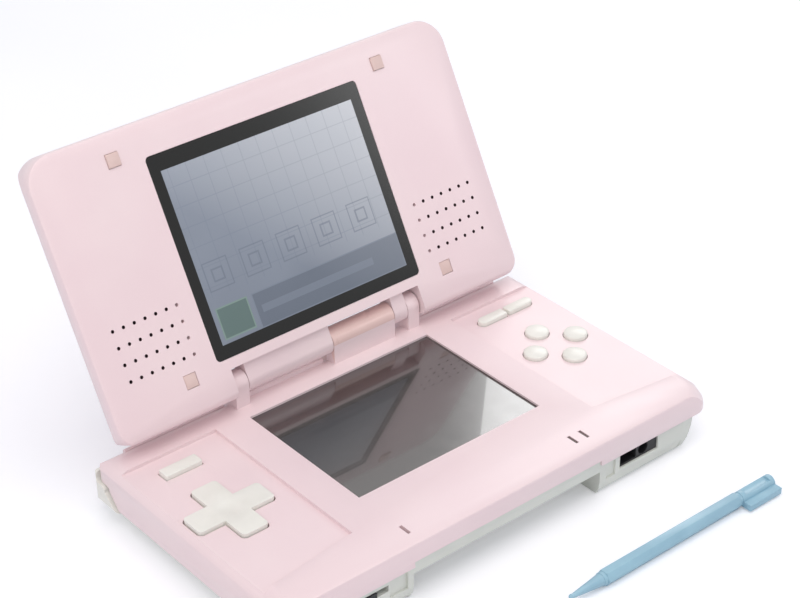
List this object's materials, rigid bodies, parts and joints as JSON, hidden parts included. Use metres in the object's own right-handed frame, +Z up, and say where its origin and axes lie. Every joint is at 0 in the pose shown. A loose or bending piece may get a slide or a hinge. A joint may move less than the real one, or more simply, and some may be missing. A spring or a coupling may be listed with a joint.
{
  "type": "handheld game console",
  "caption": "Clamshell handheld game console with a hinged lid, a screen in each half, cross pad, push and shoulder buttons, cartridge and card slots and a loose stylus.",
  "frame": {"origin": "centre of the underside of the base, on the table", "axes": "+X to the user's right, +Y from the user towards the hinge, +Z up"},
  "size_m": [0.1502, 0.1524, 0.0917],
  "materials": {
    "pearl_pink_shell": "pearlescent lacquer, satin gloss",
    "white_shell": "fine matt texture",
    "white_cap": "smooth, soft gloss",
    "black_resin": "matt moulded",
    "window_black": "polished",
    "circuit_board": "solder resist",
    "display_module": "matt film",
    "touch_glass": "glossy film on glass",
    "steel": "plain sheet and turned steel",
    "contact_brass": "bright",
    "light_guide": "clear moulded",
    "rubber_pad": "matt",
    "stylus_blue": "smooth moulded"
  },
  "bodies": {
    "base": {"base_top_cover": "pearl_pink_shell", "base_bottom_case": "white_shell", "battery_cover": "white_shell", "battery_cover_screw": "steel", "battery_pack": "black_resin", "battery_contacts": "contact_brass", "main_board": "circuit_board", "lower_display": "display_module", "touch_panel": "touch_glass", "card_slot_connector": "black_resin", "cartridge_slot_connector": "black_resin", "audio_jack": "black_resin", "microphone": "steel", "power_inlet": "black_resin", "wireless_board": "circuit_board", "status_light_guides": "light_guide", "left_membrane": "rubber_pad", "right_membrane": "rubber_pad", "case_screws": "steel", "hinge_clutch": "steel", "hinge_bush": "steel", "shoulder_pins": "steel", "shoulder_springs": "steel"},
    "lid": {"lid_front_cover": "pearl_pink_shell", "lid_back_cover": "pearl_pink_shell", "screen_window": "window_black", "upper_display": "display_module", "display_frame": "steel", "speaker_left": "steel", "speaker_right": "steel", "lid_bumpers": "rubber_pad", "lid_screw_caps": "rubber_pad", "lid_screws": "steel"},
    "d_pad_seat": {"d_pad_pivot": "rubber_pad"},
    "d_pad": {"d_pad": "white_cap"},
    "button_a": {"button_a": "white_cap"},
    "button_b": {"button_b": "white_cap"},
    "button_x": {"button_x": "white_cap"},
    "button_y": {"button_y": "white_cap"},
    "start_button": {"start_button": "white_cap"},
    "select_button": {"select_button": "white_cap"},
    "power_button": {"power_button": "white_cap"},
    "shoulder_left": {"shoulder_left": "white_cap"},
    "shoulder_right": {"shoulder_right": "white_cap"},
    "volume_slider": {"volume_slider": "black_resin"},
    "stylus": {"stylus": "stylus_blue"}
  },
  "joints": [
    {"name": "lid_hinge", "type": "hinge", "parent": "base", "child": "lid", "pos_m": [0, 0.03875, 0.0229], "axis": [-1, 0, 0], "range_deg": [-118.8, 46.2]},
    {"name": "button_a_press", "type": "slide", "parent": "base", "child": "button_a", "axis": [0, 0, -1], "range_m": [0, 0.001], "stiffness_N_per_m": 400},
    {"name": "button_b_press", "type": "slide", "parent": "base", "child": "button_b", "axis": [0, 0, -1], "range_m": [0, 0.001], "stiffness_N_per_m": 400},
    {"name": "button_x_press", "type": "slide", "parent": "base", "child": "button_x", "axis": [0, 0, -1], "range_m": [0, 0.001], "stiffness_N_per_m": 400},
    {"name": "button_y_press", "type": "slide", "parent": "base", "child": "button_y", "axis": [0, 0, -1], "range_m": [0, 0.001], "stiffness_N_per_m": 400},
    {"name": "start_button_press", "type": "slide", "parent": "base", "child": "start_button", "axis": [0, 0, -1], "range_m": [0, 0.001], "stiffness_N_per_m": 400},
    {"name": "select_button_press", "type": "slide", "parent": "base", "child": "select_button", "axis": [0, 0, -1], "range_m": [0, 0.001], "stiffness_N_per_m": 400},
    {"name": "power_button_press", "type": "slide", "parent": "base", "child": "power_button", "axis": [0, 0, -1], "range_m": [0, 0.001], "stiffness_N_per_m": 400},
    {"name": "d_pad_tilt_front_back", "type": "hinge", "parent": "base", "child": "d_pad_seat", "pos_m": [-0.0594, 0.0012, 0.013], "axis": [1, 0, 0], "range_deg": [-2, 2], "stiffness_Nm_per_rad": 0.12},
    {"name": "d_pad_tilt_left_right", "type": "hinge", "parent": "d_pad_seat", "child": "d_pad", "pos_m": [-0.0594, 0.0012, 0.013], "axis": [0, 1, 0], "range_deg": [-2, 2], "stiffness_Nm_per_rad": 0.12},
    {"name": "shoulder_left_press", "type": "hinge", "parent": "base", "child": "shoulder_left", "pos_m": [-0.0488, 0.03715, 0.009], "axis": [0, 0, 1], "range_deg": [0, 2], "stiffness_Nm_per_rad": 0.25},
    {"name": "shoulder_right_press", "type": "hinge", "parent": "base", "child": "shoulder_right", "pos_m": [0.0488, 0.03715, 0.009], "axis": [0, 0, -1], "range_deg": [0, 2], "stiffness_Nm_per_rad": 0.25},
    {"name": "volume_slide", "type": "slide", "parent": "base", "child": "volume_slider", "axis": [1, 0, 0], "range_m": [-0.0038, 0.0038]},
    {"name": "stylus_lift", "type": "slide", "parent": "base", "child": "stylus", "axis": [0, 0, 1], "range_m": [0, 0.1]}
  ]
}
